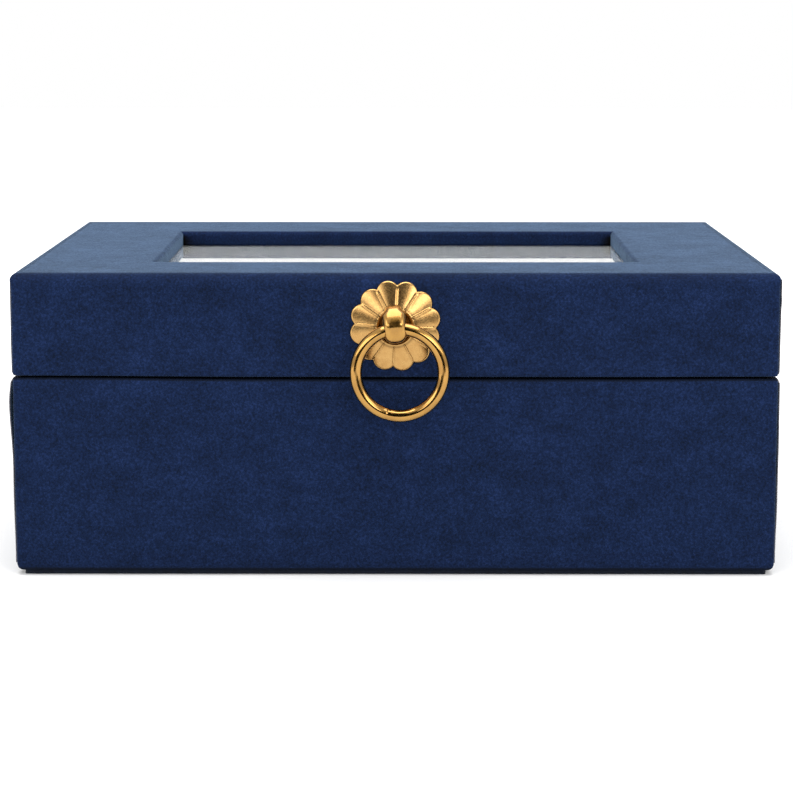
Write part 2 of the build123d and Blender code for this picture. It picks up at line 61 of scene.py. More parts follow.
# ---- wrapping, as the maker folds it ----
PAPER = 0.35 * MM           # one layer of suede paper
COVER = 0.7 * MM            # paper and glue over the boards
BOARD = 7.0 * MM
RIM_R = 1.1 * MM
LID_RIM_R = 0.6 * MM
TOP_R = 4.2 * MM
FOOT_R = 2.4 * MM
UPRIGHT_R = 1.2 * MM
TURN_UNDER = 12.0 * MM
# painted shade: up to this height above the foot the cover takes the darker suede without sheen
SHADED_FOOT = 1.1 * MM
CARD_GAP = 0.15 * MM        # air between the glass and the card
FLANGE = 4.0 * MM
WINDOW_R = 1.4 * MM
WINDOW_CORNER_R = 0.35 * MM
OVER_GLASS = 0.03 * MM      # glue between the glass and the paper turned in over it
WINDOW_HALF_X = 75.0 * MM
WINDOW_HALF_Y = 49.5 * MM
WINDOW_Y = (glass_low.y + glass_high.y) / 2
WINDOW_FLARE = 0.0055       # share by which the window is wider at its back corners
SIDE_STEP = 0.3 * MM        # the cover's sides lie this far under the side papers
SIDE_TOP_R = 1.6 * MM       # the lid's side edges are creased tighter than the front and back ones
LID_JOINT = 0.1 * MM        # the rims' outer edges stand back this far from where the boards meet
BASE_JOINT = 0.55 * MM
LID_BOW = 0.35 * MM
BASE_BOW = 0.5 * MM
JOINT_DEEP = 4.2 * MM       # how deep the step in each rim goes in
TURNED_IN = 0.15 * MM       # the suede is turned in over the rims and stands this proud of the boards
LID_TURN_IN = 3.2 * MM
BASE_TURN_IN = 2.0 * MM
FOLD = 0.3 * MM             # the paper bends over within this much
COVER_WAVE = 0.1 * MM       # waviness of the covers, and of the side papers
SIDE_WAVE = 0.05 * MM
# painted shade: these first rows of each cover take the darker suede without sheen
SHADED_ROWS = {"lid_cover": 10, "base_cover": 13}   # a cover's first rows lie in the joint

# ---- pull ----
ROSETTE_R = 13.7 * MM
PETALS = 12
PETAL_NOTCH = 1.45 * MM
ROSETTE_RIM = 0.35 * MM
ROSETTE_CROWN = 2.75 * MM
RIB = 0.24 * MM             # raised ribs between the petals
BOSS_R = 5.8 * MM
BOSS_H = 3.0 * MM
ROSETTE_TURN = radians(3.0)
RING_R = 13.0 * MM
WIRE_R = 1.86 * MM
RING_OUT = 8.0 * MM
PULL_TURN = radians(6.0)
EYE_HALF = 3.6 * MM
EYE_FOOT = 4.1 * MM         # middle of the hole to the round foot
EYE_HOLE = 2.45 * MM

# ---- light and camera ----
WORLD_LIGHT = 1.0
CAMERA_PLACE = Vector((3.08, -791.07, 171.06)) * MM
CAMERA_DOWN = radians(8.167)
CAMERA_LENS = 107.964
CAMERA_TURN = radians(0.219)
CAMERA_FALL = -0.0631       # the lens is lowered against the film, which keeps the uprights straighter


# ================= finishes =================
def linear(colour):
    """An sRGB hex colour as linear RGBA."""
    parts = [int(colour[n:n + 2], 16) / 255 for n in (1, 3, 5)]
    return tuple(p / 12.92 if p <= 0.04045 else ((p + 0.055) / 1.055) ** 2.4 for p in parts) + (1.0,)


def add(tree, kind, settings=None, links=None):
    """Adds a node, sets its inputs and properties and links its inputs to other nodes' outputs."""
    node = tree.nodes.new(kind)
    for name, value in (settings or {}).items():
        if isinstance(name, int) or name in node.inputs:
            node.inputs[name].default_value = value
        else:
            setattr(node, name, value)
    for name, source in (links or {}).items():
        tree.links.new(source, node.inputs[name])
    return node


def finish_of(name, settings):
    """A new material with its shader's settings, and the surface's place in the piece's own space."""
    made = bpy.data.materials.new(name)
    made.use_nodes = True
    tree = made.node_tree
    shader = tree.nodes["Principled BSDF"]
    for key, value in settings.items():
        shader.inputs[key].default_value = value
    place = add(tree, "ShaderNodeTexCoord").outputs["Object"]
    return made, tree, shader, place


def ramp(tree, source, stops):
    """Turns a number into a colour between stops of (place, hex colour)."""
    node = add(tree, "ShaderNodeValToRGB", links={"Fac": source})
    band = node.color_ramp
    while len(band.elements) < len(stops):
        band.elements.new(0.5)
    for element, (place, colour) in zip(band.elements, stops):
        element.position = place
        element.color = linear(colour)
    return node.outputs["Color"]


def grain(tree, place, size_mm, detail=2.0, roughness=0.5, stretch=(1, 1, 1)):
    """Noise whose features are about size_mm across."""
    scaled = add(tree, "ShaderNodeMapping", {"Scale": stretch}, {"Vector": place})
    settings = {"Scale": 1000 / size_mm, "Detail": detail, "Roughness": roughness}
    return add(tree, "ShaderNodeTexNoise", settings, {"Vector": scaled.outputs["Vector"]}).outputs["Fac"]


def blend_of(tree, first, second, share):
    """Adds second to first, weighed by share."""
    scaled = add(tree, "ShaderNodeMath", {"operation": "MULTIPLY", 1: share}, {0: second})
    rest = add(tree, "ShaderNodeMath", {"operation": "MULTIPLY", 1: 1 - share}, {0: first})
    both = {0: scaled.outputs[0], 1: rest.outputs[0]}
    return add(tree, "ShaderNodeMath", {"operation": "ADD"}, both).outputs[0]


def relief(tree, shader, height, depth_mm, strength=1.0):
    """Raises the surface by height, up to depth_mm."""
    settings = {"Distance": depth_mm * MM, "Strength": strength}
    bump = add(tree, "ShaderNodeBump", settings, {"Height": height})
    tree.links.new(bump.outputs["Normal"], shader.inputs["Normal"])


def roughen(tree, shader, source, low, high, start=0.3, end=0.7):
    """Lets the roughness go from low to high as the source goes from start to end."""
    settings = {"From Min": start, "From Max": end, "To Min": low, "To Max": high}
    rough = add(tree, "ShaderNodeMapRange", settings, {"Value": source})
    tree.links.new(rough.outputs["Result"], shader.inputs["Roughness"])


def suede_paper(name, nap, stops):
    """Suede paper: cotton flock on paper, brushed flat. Face on it is a dull mottled navy, and at a
    grazing angle the standing nap turns it steel blue."""
    made, tree, shader, place = finish_of(name, {
        "Roughness": 0.9, "Specular IOR Level": 0.08,
        "Sheen Roughness": 0.32, "Sheen Tint": linear("#AACFF6"),
    })
    clouds = grain(tree, place, 18.0, 3.0, 0.55, (1.0, 1.0, 1.4))
    strokes = grain(tree, place, 4.0, 3.0, 0.6, (0.6, 0.8, 1.0))
    # the flock's clumps are about 0.3 mm; they are drawn twice as coarse so that they show
    flock = grain(tree, place, 0.65, 2.0, 0.7)
    mottle = blend_of(tree, blend_of(tree, clouds, strokes, 0.5), flock, 0.62)
    # painted shade: low in the window's back corners the colour goes to near black and the sheen to
    # nothing
    corner_shade = add(tree, "ShaderNodeAttribute", {"attribute_name": "corner_shade"}).outputs["Fac"]
    dark = {"data_type": "RGBA", 7: linear("#050403")}
    colour = add(tree, "ShaderNodeMix", dark, {0: corner_shade, 6: ramp(tree, mottle, stops)})
    tree.links.new(colour.outputs[2], shader.inputs["Base Color"])
    settings = {"From Min": 0.36, "From Max": 0.64, "To Min": nap * 0.6, "To Max": nap * 1.4}
    standing = add(tree, "ShaderNodeMapRange", settings, {"Value": mottle})
    links = {0: corner_shade, 2: standing.outputs["Result"]}
    bloom = add(tree, "ShaderNodeMix", {"data_type": "FLOAT", 3: 0.0}, links)
    tree.links.new(bloom.outputs[0], shader.inputs["Sheen Weight"])
    relief(tree, shader, blend_of(tree, flock, strokes, 0.45), 0.2, 0.5)
    return made


def paper_core():
    """The cut edge of the suede paper: dark grey pulp with a fibrous tooth."""
    settings = {"Roughness": 0.95, "Specular IOR Level": 0.2}
    made, tree, shader, place = finish_of("cut_paper_edge", settings)
    fibres = grain(tree, place, 0.5, 3.0, 0.6)
    stops = ((0.35, "#46454B"), (0.65, "#66646A"))
    tree.links.new(ramp(tree, fibres, stops), shader.inputs["Base Color"])
    relief(tree, shader, fibres, 0.08, 0.5)
    return made


def needled_felt():
    """Needled felt: black matted fibres, with no shine at all."""
    made, tree, shader, place = finish_of("needled_felt", {
        "Roughness": 1.0, "Specular IOR Level": 0.1, "Sheen Weight": 0.15, "Sheen Roughness": 0.6,
    })
    fibres = grain(tree, place, 1.2, 4.0, 0.75, (1.0, 0.5, 1.0))
    stops = ((0.35, "#040A14"), (0.7, "#0B1728"))
    tree.links.new(ramp(tree, fibres, stops), shader.inputs["Base Color"])
    relief(tree, shader, fibres, 0.3, 0.8)
    return made


def velvet():
    """Short-pile velvet in oatmeal: soft, with paler edges where the pile is seen from the side."""
    made, tree, shader, place = finish_of("short_pile_velvet", {
        "Roughness": 0.95, "Specular IOR Level": 0.1, "Sheen Weight": 0.7,
        "Sheen Roughness": 0.4, "Sheen Tint": linear("#FFF6E6"),
    })
    strokes = grain(tree, place, 9.0, 3.0, 0.6, (1.0, 0.6, 1.0))
    pile = grain(tree, place, 0.6, 2.0, 0.7)
    mottle = blend_of(tree, strokes, pile, 0.4)
    stops = ((0.34, "#A5978A"), (0.5, "#BDB0A2"), (0.68, "#D0C5B8"))
    tree.links.new(ramp(tree, mottle, stops), shader.inputs["Base Color"])
    relief(tree, shader, pile, 0.2, 0.5)
    return made


def fibreboard():
    """Medium-density fibreboard, sanded: fine brown wood dust pressed with resin."""
    settings = {"Roughness": 0.8, "Specular IOR Level": 0.3}
    made, tree, shader, place = finish_of("sanded_fibreboard", settings)
    dust = blend_of(tree, grain(tree, place, 0.8, 4.0, 0.7), grain(tree, place, 12.0), 0.3)
    stops = ((0.35, "#8C6B49"), (0.65, "#B08D66"))
    tree.links.new(ramp(tree, dust, stops), shader.inputs["Base Color"])
    relief(tree, shader, dust, 0.05, 0.4)
    return made


def polished_brass(name, rough_low, rough_high):
    """Cast brass, polished and lightly handled: a deep yellow mirror with faint polishing swirls."""
    made, tree, shader, place = finish_of(name, {
        "Metallic": 1.0, "Coat Weight": 0.5, "Coat Roughness": 0.04,
    })
    swirls = grain(tree, place, 1.6, 3.0, 0.6)
    haze = grain(tree, place, 5.0, 2.0, 0.5)
    stops = ((0.35, "#9C7234"), (0.6, "#AC813D"))
    tree.links.new(ramp(tree, haze, stops), shader.inputs["Base Color"])
    roughen(tree, shader, swirls, rough_low, rough_high)
    relief(tree, shader, haze, 0.03, 0.35)
    return made


def satin_brass():
    """Pressed sheet brass, brushed to satin, with brown lacquer left in the grooves; the boss's face is
    painted the same dark brown, a painted reflection.
    """
    made, tree, shader, place = finish_of("satin_pressed_brass", {"Metallic": 1.0})
    haze = grain(tree, place, 3.0, 3.0, 0.6)
    bright = ramp(tree, haze, ((0.35, "#AE8650"), (0.65, "#BA935B")))
    lacquer_and_dark_reflection = add(tree, "ShaderNodeAttribute", {"attribute_name": "lacquer_and_dark_reflection"}).outputs["Fac"]
    # this dark brown is the lacquer in the grooves and also the painted dark reflection on the boss
    lacquer_and_reflection_colour = {"data_type": "RGBA", 7: linear("#24160A")}
    mixed = add(tree, "ShaderNodeMix", lacquer_and_reflection_colour, {0: lacquer_and_dark_reflection, 6: bright})
    tree.links.new(mixed.outputs[2], shader.inputs["Base Color"])
    brush = grain(tree, place, 0.7, 2.0, 0.6)
    roughen(tree, shader, brush, 0.2, 0.28)
    relief(tree, shader, brush, 0.01, 0.2)
    return made


def small_brass():
    """Sheet brass of the hinges and turn buttons: rolled and tumbled, evenly satin."""
    made, tree, shader, place = finish_of("tumbled_sheet_brass", {"Metallic": 1.0})
    rolled = grain(tree, place, 2.0, 3.0, 0.6, (0.3, 1.0, 1.0))
    stops = ((0.35, "#CDA45A"), (0.65, "#D6B067"))
    tree.links.new(ramp(tree, rolled, stops), shader.inputs["Base Color"])
    roughen(tree, shader, rolled, 0.24, 0.3)
    return made


def plated_steel(name, bright, dull, rough_low, rough_high):
    """Plated steel fixings: a thin grey bloom over a soft mirror."""
    made, tree, shader, place = finish_of(name, {"Metallic": 1.0})
    bloom = grain(tree, place, 1.5, 3.0, 0.6)
    tree.links.new(ramp(tree, bloom, ((0.35, dull), (0.65, bright))), shader.inputs["Base Color"])
    roughen(tree, shader, bloom, rough_low, rough_high)
    return made


def float_glass():
    """Clear float glass, a mirror at a low angle, with faint wiping marks in its roughness."""
    made, tree, shader, place = finish_of("clear_float_glass", {"Transmission Weight": 1.0, "IOR": 1.52})
    wiped = grain(tree, place, 14.0, 3.0, 0.6, (1.0, 0.4, 1.0))
    tree.links.new(ramp(tree, wiped, ((0.3, "#FAFDFC"), (0.7, "#FFFFFF"))), shader.inputs["Base Color"])
    roughen(tree, shader, wiped, 0.0, 0.02, 0.45, 0.8)
    return made


def white_card():
    """Uncoated white card: matt, with a very slight tooth."""
    settings = {"Roughness": 0.9, "Specular IOR Level": 0.25}
    made, tree, shader, place = finish_of("uncoated_white_card", settings)
    tooth = grain(tree, place, 0.9, 3.0, 0.6)
    tree.links.new(ramp(tree, tooth, ((0.3, "#E9E9EA"), (0.7, "#F3F3F2"))), shader.inputs["Base Color"])
    relief(tree, shader, tooth, 0.04, 0.4)
    return made


SUEDE = suede_paper("napped_suede_paper", 0.3, (
    (0.35, "#060F20"), (0.46, "#0A162F"), (0.54, "#0D1B37"), (0.66, "#162548")))
# painted shade: inside the joint and at the foot the suede is given a darker colour and no sheen,
# standing in for the shade there
SHADED_SUEDE = suede_paper("suede_paper_painted_shade", 0.0, ((0.36, "#080E1B"), (0.64, "#0E172A")))
PAPER_EDGE = paper_core()
FELT = needled_felt()
VELVET = velvet()
FIBREBOARD = fibreboard()
RING_BRASS = polished_brass("polished_brass", 0.07, 0.14)
EYE_BRASS = polished_brass("half_polished_brass", 0.18, 0.26)
SATIN = satin_brass()
SHEET_BRASS = small_brass()
STEEL = plated_steel("zinc_plated_steel", "#B9BBBD", "#8E9194", 0.25, 0.4)
MAGNET = plated_steel("nickel_plated_magnet", "#CFCFCC", "#B0B0AD", 0.1, 0.22)
GLASS = float_glass()
CARD = white_card()


# ================= mesh tools =================
def in_scene(name, data):
    """A new object in the scene with this mesh, light or camera."""
    made = bpy.data.objects.new(name, data)
    bpy.context.scene.collection.objects.link(made)
    return made


def mesh_piece(name, points, faces, body, slot, *finishes):
    """A smooth-shaded mesh object that rides on a body."""
    mesh = bpy.data.meshes.new(name)
    mesh.from_pydata([tuple(p) for p in points], [], faces)
    mesh.validate()
    for finish in finishes:
        mesh.materials.append(finish)
    mesh.polygons.foreach_set("use_smooth", [True] * len(mesh.polygons))
    piece = in_scene(name, mesh)
    set_normals_out(mesh)
    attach(piece, body)
    return piece


def set_normals_out(mesh):
    """Makes all faces of a mesh face outwards."""
    work = bmesh.new()
    work.from_mesh(mesh)
    bmesh.ops.recalc_face_normals(work, faces=work.faces)
    work.to_mesh(mesh)
    work.free()


def apply_modifiers(piece):
    """Bakes a piece's modifiers into its mesh."""
    shown = piece.evaluated_get(bpy.context.evaluated_depsgraph_get())
    old = piece.data
    new = bpy.data.meshes.new_from_object(shown)
    piece.modifiers.clear()
    piece.data = new
    new.name = old.name
    bpy.data.meshes.remove(old)


def thicken(piece, depth, rim_slot=0):
    """Gives a sheet its thickness, inwards. The rim's finish is rim_slot places further on."""
    shell = piece.modifiers.new("thickness", "SOLIDIFY")
    shell.thickness = depth
    shell.offset = -1
    shell.material_offset_rim = rim_slot
    apply_modifiers(piece)


def paint(piece, name, values):
    """Gives each point a number that the finish reads."""
    layer = piece.data.attributes.new(name, "FLOAT", "POINT")
    layer.data.foreach_set("value", values)


def arc(centre_in, centre_z, radius, start, end, cuts):
    """Points (inset, height) on an arc; angle 0 points inwards and 90 up."""
    angles = [radians(start + (end - start) * n / cuts) for n in range(cuts + 1)]
    return [(centre_in + radius * cos(a), centre_z + radius * sin(a)) for a in angles]


CUTS_X = 96
CUTS_Y = 72
CUTS_CORNER = 4


def outline(half_x, half_y, radius, z, mid_y=0.0):
    """A rounded rectangle as a closed row of points, always the same number of them."""
    points = []
    corners = ((1, -1), (1, 1), (-1, 1), (-1, -1))
    for n, (sx, sy) in enumerate(corners):
        centre = Vector((sx * (half_x - radius), mid_y + sy * (half_y - radius), z))
        for k in range(CUTS_CORNER + 1):
            angle = radians(90 * (n - 1) + 90 * k / CUTS_CORNER)
            points.append(centre + radius * Vector((cos(angle), sin(angle), 0)))
        nx, ny = corners[(n + 1) % 4]
        following = Vector((nx * (half_x - radius), mid_y + ny * (half_y - radius), z))
        angle = radians(90 * n)
        goal = following + radius * Vector((cos(angle), sin(angle), 0))
        last, cuts = points[-1], CUTS_Y if n % 2 == 0 else CUTS_X
        points += [last.lerp(goal, k / cuts) for k in range(1, cuts)]
    return points


def loft(rows, closed=False):
    """Points and faces that join closed rows of equally many points."""
    count = len(rows[0])
    points = [p for row in rows for p in row]
    faces = []
    for n in range(len(rows) if closed else len(rows) - 1):
        low, high = n * count, ((n + 1) % len(rows)) * count
        for k in range(count):
            nxt = (k + 1) % count
            faces.append((low + k, low + nxt, high + nxt, high + k))
    return points, faces


def spread(start, end, cuts):
    """Numbers strictly between start and end."""
    return [start + (end - start) * n / cuts for n in range(1, cuts)]


def near(value, centre, width):
    """1 at centre, falling smoothly to 0 over width."""
    return exp(-((value - centre) / width) ** 2)


def smooth_step(value, low, high):
    """0 below low, 1 above high, smooth between."""
    t = min(max((value - low) / (high - low), 0.0), 1.0)
    return t * t * (3 - 2 * t)


def hand_laid(point, reach):
    """The slight waviness of paper laid by hand, as a shift outwards."""
    slow = noise.noise(point * 28.0 + Vector((3.1, 7.7, 1.3)))
    quick = noise.noise(point * 110.0)
    return reach * (0.7 * slow + 0.3 * quick)


def bow(point, height):
    """How far a rim rises at the front towards both ends, more on the left: the joint isn't level."""
    ends = smooth_step(-point.x, 40 * MM, 106 * MM) + 0.4 * smooth_step(point.x, 66 * MM, 106 * MM)
    away = smooth_step(abs(point.z - JOINT_Z), 1 * MM, 16 * MM)
    return height * ends * smooth_step(-point.y, -20 * MM, 70 * MM) * (1 - away)


# ================= covers =================
def cover_row(inset, z, radius, across=None):
    """One row round the outside of the box, taken in by inset, or by another amount on the sides."""
    step = SIDE_STEP if inset < TOP_R else 0.0
    across = inset if across is None else across
    return outline(HALF_X - across - step, HALF_Y - inset, max(radius - inset, 0.25 * MM), z)


def pinch_tips(rows, height, reach):
    """Pulls the folded corners out a little at a height, where the paper doubles over itself."""
    for row in rows:
        for p in row:
            corner = max(0.0, 1 - Vector((HALF_X - abs(p.x), HALF_Y - abs(p.y), 0)).length / (5 * MM))
            pull = reach * corner**2 * near(p.z, height, 1.6 * MM)
            p.x += pull if p.x > 0 else -pull
            p.y += 0.5 * pull if p.y > 0 else -0.5 * pull


def rim_rows(rim, edge, turned_in):
    """A cover's first rows: turned in on the wall, over the rim, and back to the joint's edge."""
    inside = BOARD + COVER + TURNED_IN
    rows = [cover_row(inside, rim + reach, UPRIGHT_R) for reach in turned_in]
    rows += [cover_row(inset, rim, UPRIGHT_R) for inset in (inside - FOLD, 6 * MM, JOINT_DEEP)]
    rows += [cover_row(inset, edge, UPRIGHT_R) for inset in (JOINT_DEEP - FOLD, 2.5 * MM)]
    return rows


def flare_window(rows):
    """The window's side walls spread a little towards the back corners, where the paper was slit."""
    for p in (p for row in rows for p in row if p.z > glass_high.z - 1 * MM):
        back = smooth_step(p.y, WINDOW_Y - 20 * MM, WINDOW_Y + WINDOW_HALF_Y)
        p.x *= 1 + WINDOW_FLARE * back * (1 - smooth_step(abs(p.x), 77.5 * MM, 100 * MM))


def painted_corner_shade(point):
    """1 low in the window's back corners: painted shade that makes the suede there near black and takes
    its sheen away.
    """
    down = smooth_step(lid_high.z - 0.5 * WINDOW_R - point.z, 0, 3.2 * MM)
    side = smooth_step(abs(point.x), WINDOW_HALF_X - (1.2 + 2.6 * down) * MM, WINDOW_HALF_X - 0.4 * MM)
    at_back = near(point.y, WINDOW_Y + WINDOW_HALF_Y, 0.7 * MM)
    within = abs(point.x) < WINDOW_HALF_X + 0.9 * MM and point.z > glass_high.z - 1 * MM
    return side * at_back * min(1.0, 3 * down) * within


def lid_wrap():
    """The lid's cover, from the rim's inner edge over the top and down into the window."""
    low, high = lid_low.z, lid_high.z
    edge = low + LID_JOINT
    rows = rim_rows(low, edge, (LID_TURN_IN, 1.5 * MM, FOLD))
    profile = arc(LID_RIM_R, edge + LID_RIM_R, LID_RIM_R, 270, 180, 6)
    profile += [(0.0, z) for z in spread(edge + LID_RIM_R, high - TOP_R, 12)]
    rows += [cover_row(inset, z, UPRIGHT_R) for inset, z in profile]
    for inset, z in arc(TOP_R, high - TOP_R, TOP_R, 180, 90, 16):
        up = min(max(z - (high - SIDE_TOP_R), 0.0), SIDE_TOP_R)
        rows.append(cover_row(inset, z, UPRIGHT_R, SIDE_TOP_R - sqrt(SIDE_TOP_R**2 - up**2)))
    edge_x, edge_y = WINDOW_HALF_X + WINDOW_R, WINDOW_HALF_Y + WINDOW_R
    for n in range(1, 16):
        share = n / 16
        half_x = (HALF_X - SIDE_TOP_R) * (1 - share) + edge_x * share
        half_y = (HALF_Y - TOP_R) * (1 - share) + edge_y * share
        rows.append(outline(half_x, half_y, 0.4 * MM, high, WINDOW_Y * share))
    for grow, z in arc(WINDOW_R, high - WINDOW_R, WINDOW_R, 90, 180, 8):
        corner = WINDOW_CORNER_R + grow * 0.3
        rows.append(outline(WINDOW_HALF_X + grow, WINDOW_HALF_Y + grow, corner, z, WINDOW_Y))
    for z in spread(high - WINDOW_R, glass_high.z, 5):
        rows.append(outline(WINDOW_HALF_X, WINDOW_HALF_Y, WINDOW_CORNER_R, z, WINDOW_Y))
    for grow in (0.0, FLANGE):
        half_x, half_y = WINDOW_HALF_X + grow, WINDOW_HALF_Y + grow
        rows.append(outline(half_x, half_y, WINDOW_CORNER_R, glass_high.z + OVER_GLASS, WINDOW_Y))
    pinch_tips(rows, high - SIDE_TOP_R, 0.4 * MM)
    flare_window(rows)
    wrap_piece("lid_wrap", rows, "lid", "lid_cover", LID_BOW)


def base_wrap():
    """The base's cover, from the rim's inner edge down the walls and turned under the bottom."""
    low, high = base_low.z, base_high.z
    edge = high - BASE_JOINT
    rows = rim_rows(high, edge, (-BASE_TURN_IN, -1 * MM, -FOLD))
    profile = arc(RIM_R, edge - RIM_R, RIM_R, 90, 180, 6)
    profile += [(0.0, z) for z in spread(edge - RIM_R, low + FOOT_R, 20)]
    profile += arc(FOOT_R, low + FOOT_R, FOOT_R, 180, 270, 8)
    profile += [(inset, low) for inset in (5 * MM, 8 * MM, TURN_UNDER)]
    rows += [cover_row(inset, z, UPRIGHT_R) for inset, z in profile]
    wrap_piece("base_wrap", rows, "base", "base_cover", BASE_BOW)


def wrap_piece(name, rows, body, node, bow_height):
    """A cover made of rows, laid by hand and given the paper's thickness."""
    low, high = (corner.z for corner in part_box(node))
    points, faces = loft(rows)
    piece = mesh_piece(name, points, faces, body, "suede_paper", SUEDE, SHADED_SUEDE)
    # painted shade: faces in the joint and at the foot take the darker suede without sheen
    for face in piece.data.polygons:
        in_shade = face.index < (SHADED_ROWS[node] - 1) * len(rows[0])
        face.material_index = int(in_shade or face.center.z < base_low.z + SHADED_FOOT)
    # painted shade for the window's back corners
    paint(piece, "corner_shade", [painted_corner_shade(place) for place in points])
    ways = [vertex.normal.copy() for vertex in piece.data.vertices]
    shaped = []
    for place, way in zip(points, ways):
        inside = smooth_step(place.z, low, low + 2 * MM) * smooth_step(high - place.z, -1 * MM, 2 * MM)
        rise = Vector((0, 0, bow(place, bow_height)))
        shaped.append(place + way * hand_laid(place, COVER_WAVE) * inside + rise)
    piece.data.vertices.foreach_set("co", [number for place in shaped for number in place])
    thicken(piece, COVER)
    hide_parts(node)


# ================= side papers =================
def stuck_at_foot(down):
    """The base papers are turned under the box, so they lie close again towards the foot."""
    return 1 - 0.85 * smooth_step(down, 36 * MM, 54 * MM)


def left_base_lift(back, z):
    """The left paper's front corner has sprung off below the rim: a long blister."""
    up = base_high.z - z
    swell = smooth_step(up, -1 * MM, 8 * MM) * (1 - smooth_step(up, 8 * MM, 27 * MM))
    return (0.3 * stuck_at_foot(up) + 0.8 * swell) * exp(-back / (9 * MM)) * MM


def right_base_lift(back, z):
    """The right base paper stands off a little along its whole front edge."""
    stands = 0.42 + 0.1 * noise.noise(Vector((0.7, 0.2, z)) * 60)
    return stands * stuck_at_foot(base_high.z - z) * exp(-back / (12 * MM)) * MM


def right_lid_lift(back, z):
    """The right lid paper stands off along its whole front edge, more at the folded corner."""
    up = (z - lid_low.z) / (lid_high.z - lid_low.z)
    ripple = 0.16 * near(up, 0.74, 0.06) + 0.1 * near(up, 0.88, 0.05)
    return (0.2 + 0.15 * up + ripple) * exp(-back / (7 * MM)) * MM


def slight_lift(back, z):
    """A well-stuck edge: it only stands up by its own thickness."""
    return (0.1 + 0.08 * noise.noise(Vector((back, 0.3, z)) * 120)) * exp(-back / (5 * MM)) * MM


def side_paper(name, side, body, low, high, rim_up, lift):
    """One side paper: a flat sheet whose edge follows the rim's rounding, and lifts at the front."""
    reach = -side_low.y
    cuts_y, cuts_z = 90, 40
    rim = high - RIM_R if rim_up else low + RIM_R
    bow_height = BASE_BOW if rim_up else LID_BOW
    points = []
    for k in range(cuts_z + 1):
        z = low + (high - low) * k / cuts_z
        past = max(0.0, (z - rim) if rim_up else (rim - z))
        turn = RIM_R - sqrt(max(RIM_R**2 - min(past, 0.92 * RIM_R) ** 2, 0.0))
        for n in range(cuts_y + 1):
            # the sheet is cut finer towards its front edge
            y = -reach + 2 * reach * (n / cuts_y) ** 1.6
            wave = hand_laid(Vector((side, y, z)), SIDE_WAVE)
            x = HALF_X - turn + wave + lift(y + reach, z)
            place = Vector((side * x, y, z))
            place.z += bow(place, bow_height)
            points.append(place)
    row = cuts_y + 1
    faces = [
        (k * row + n, k * row + n + 1, (k + 1) * row + n + 1, (k + 1) * row + n)
        for k in range(cuts_z) for n in range(cuts_y)
    ]
    if side < 0:
        faces = [face[::-1] for face in faces]
    piece = mesh_piece(name, points, faces, body, "suede_paper", SUEDE, PAPER_EDGE)
    if (piece.data.polygons[0].normal.x > 0) != (side > 0):
        piece.data.flip_normals()
    thicken(piece, PAPER, 1)
    return piece


def all_side_papers():
    """The four side papers, each with the way its front edge has come to lie."""
    rim_base, rim_lid = base_high.z - BASE_JOINT - 0.1 * MM, lid_low.z + LID_JOINT + 0.1 * MM
    foot, top = base_low.z + FOOT_R, lid_high.z - SIDE_TOP_R - 0.2 * MM
    base = [
        side_paper("base_side_paper_left", -1, "base", foot, rim_base, True, left_base_lift),
        side_paper("base_side_paper_right", 1, "base", foot, rim_base, True, right_base_lift),
    ]
    lid = [
        side_paper("lid_side_paper_left", -1, "lid", rim_lid, top, False, slight_lift),
        side_paper("lid_side_paper_right", 1, "lid", rim_lid, top, False, right_lid_lift),
    ]
    for piece in base:
        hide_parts("base_side_papers")
    for piece in lid:
        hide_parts("lid_side_papers")


